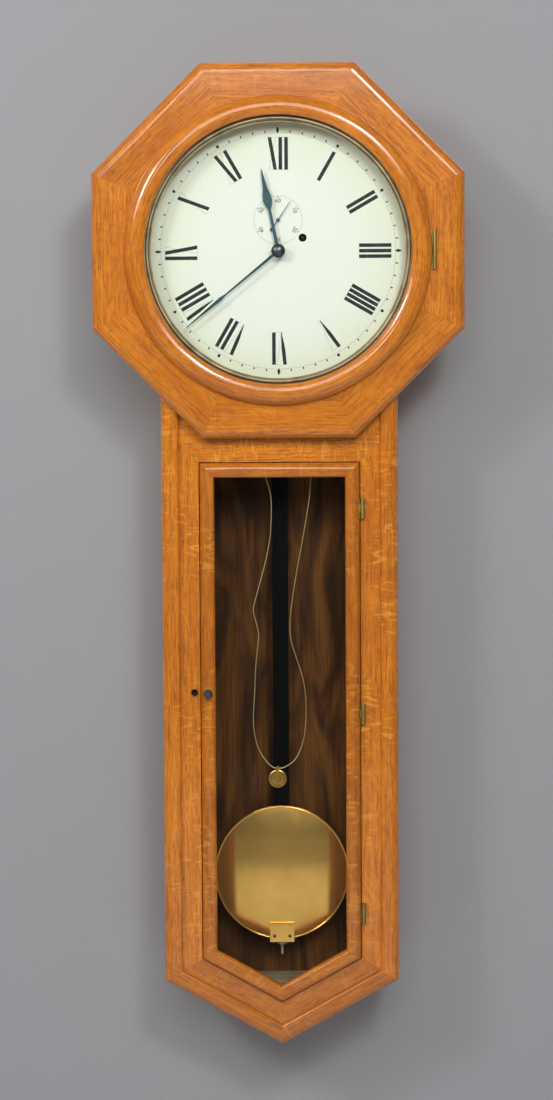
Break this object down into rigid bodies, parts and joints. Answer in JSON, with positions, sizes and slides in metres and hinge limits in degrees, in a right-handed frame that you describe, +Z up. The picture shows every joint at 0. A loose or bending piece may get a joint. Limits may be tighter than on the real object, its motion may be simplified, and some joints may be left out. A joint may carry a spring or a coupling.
{
  "type": "wall regulator clock",
  "caption": "Octagon-head oak wall regulator clock with Roman dial, seconds bit, hinged bezel, glazed pointed trunk door, lens-bob pendulum and slack weight cable.",
  "frame": {"origin": "centre of the hanger hole's mouth in the back of the backboard, on the wall plane", "axes": "+Z up, the dial faces -Y, the back rests on the plane y = 0, +X is to the right seen from the front"},
  "size_m": [0.518, 0.1597, 1.379],
  "materials": {
    "oak": "satin lacquered golden oak",
    "dark_walnut": "oiled dark walnut",
    "brass": "satin",
    "bob_brass": "polished",
    "bronzed_brass": "bronzed",
    "blued_steel": "blued",
    "steel": "bright",
    "cast_iron": "black japanned",
    "dial_enamel": "eggshell paint",
    "clear_glass": "polished",
    "black_wood": "ebonised",
    "cable_wire": "drawn wire rope"
  },
  "bodies": {
    "case": {"backboard": "dark_walnut", "hanger_plate": "brass", "wood_screws": "brass", "trunk_side_left": "oak", "trunk_side_right": "oak", "trunk_bottom_boards": "oak", "trunk_floor": "dark_walnut", "frame_stiles": "oak", "frame_top_rail": "oak", "frame_v_rails": "oak", "trunk_mouldings": "oak", "trunk_v_mouldings": "oak", "head_boards": "oak", "octagon_staves": "oak", "dial_plate": "dial_enamel", "lock_body": "brass", "keyhole_escutcheon": "brass", "case_hinge_leaves": "brass", "hinge_pins": "brass", "movement_bracket": "cast_iron", "movement_screws": "steel", "back_plate": "brass", "front_plate": "brass", "plate_pillars": "brass", "suspension_cock": "cast_iron", "cable_post": "brass", "cable": "cable_wire", "pulley_stirrup": "steel"},
    "bezel_door": {"bezel_ring": "oak", "sight_ring": "bronzed_brass", "bezel_glass": "clear_glass", "glass_retainer": "bronzed_brass", "bezel_hinge_leaf": "brass"},
    "trunk_door": {"door_stile_left": "oak", "door_stile_right": "oak", "door_rails": "oak", "door_glass": "clear_glass", "door_knob": "blued_steel", "door_hinge_leaves": "brass"},
    "bolt": {"lock_bolt": "brass"},
    "pendulum": {"suspension_spring": "steel", "pendulum_rod": "black_wood", "pendulum_bob": "bob_brass", "bob_bracket": "brass", "rating_rod": "steel"},
    "nut": {"rating_nut": "steel"},
    "verge": {"pallets": "steel", "crutch": "steel"},
    "escape": {"escape_wheel": "brass", "seconds_hand": "blued_steel"},
    "third": {"third_wheel": "brass"},
    "centre": {"centre_wheel": "brass"},
    "great": {"great_wheel": "brass", "click": "steel"},
    "barrel": {"winding_barrel": "brass"},
    "minute": {"minute_hand": "blued_steel", "hand_nut": "blued_steel"},
    "hour": {"hour_hand": "blued_steel"},
    "motion": {"minute_wheel": "brass"},
    "pulley": {"pulley_wheel": "brass"}
  },
  "joints": [
    {"name": "bezel_door_hinge", "type": "hinge", "parent": "case", "child": "bezel_door", "pos_m": [0.216, -0.1461, -0.17], "axis": [0, 0, 1], "range_deg": [0, 120]},
    {"name": "trunk_door_hinge", "type": "hinge", "parent": "case", "child": "trunk_door", "pos_m": [0.116, -0.1212, -0.818], "axis": [0, 0, 1], "range_deg": [0, 135]},
    {"name": "lock_bolt_slide", "type": "slide", "parent": "case", "child": "bolt", "axis": [1, 0, 0], "range_m": [0, 0.005]},
    {"name": "pendulum_swing", "type": "hinge", "parent": "case", "child": "pendulum", "pos_m": [0, -0.04, -0.058], "axis": [0, 1, 0], "range_deg": [-2.5, 2.5]},
    {"name": "rating_nut_turn", "type": "hinge", "parent": "pendulum", "child": "nut", "pos_m": [0, -0.04, -1.16], "axis": [0, 0, 1], "continuous": true},
    {"name": "verge_rock", "type": "hinge", "parent": "case", "child": "verge", "pos_m": [0, -0.053, -0.103], "axis": [0, 1, 0], "range_deg": [-3.8, 3.8]},
    {"name": "seconds_turn", "type": "hinge", "parent": "case", "child": "escape", "pos_m": [0, -0.09, -0.127], "axis": [0, 1, 0], "continuous": true},
    {"name": "third_wheel_turn", "type": "hinge", "parent": "case", "child": "third", "pos_m": [-0.01505, -0.09, -0.14758], "axis": [0, 1, 0], "continuous": true},
    {"name": "centre_wheel_turn", "type": "hinge", "parent": "case", "child": "centre", "pos_m": [0, -0.09, -0.17], "axis": [0, 1, 0], "continuous": true},
    {"name": "great_wheel_turn", "type": "hinge", "parent": "case", "child": "great", "pos_m": [0.034, -0.07, -0.1515], "axis": [0, 1, 0], "continuous": true},
    {"name": "winding", "type": "hinge", "parent": "great", "child": "barrel", "pos_m": [0.034, -0.084, -0.1515], "axis": [0, 1, 0], "continuous": true},
    {"name": "minute_hand_turn", "type": "hinge", "parent": "case", "child": "minute", "pos_m": [0, -0.13, -0.17], "axis": [0, 1, 0], "continuous": true},
    {"name": "hour_hand_turn", "type": "hinge", "parent": "case", "child": "hour", "pos_m": [0, -0.13, -0.17], "axis": [0, 1, 0], "continuous": true},
    {"name": "minute_wheel_turn", "type": "hinge", "parent": "case", "child": "motion", "pos_m": [-0.01273, -0.113, -0.18273], "axis": [0, 1, 0], "continuous": true},
    {"name": "pulley_turn", "type": "hinge", "parent": "case", "child": "pulley", "pos_m": [-0.005, -0.09, -0.914], "axis": [0, 1, 0], "continuous": true}
  ],
  "couplings": [
    {"joint": "verge_rock", "follows": "pendulum_swing", "ratio": 1.5172},
    {"joint": "third_wheel_turn", "follows": "seconds_turn", "ratio": -0.13333},
    {"joint": "centre_wheel_turn", "follows": "seconds_turn", "ratio": 0.016667},
    {"joint": "great_wheel_turn", "follows": "seconds_turn", "ratio": -0.0013889},
    {"joint": "hour_hand_turn", "follows": "minute_hand_turn", "ratio": 0.083333},
    {"joint": "minute_wheel_turn", "follows": "minute_hand_turn", "ratio": -0.33333}
  ]
}
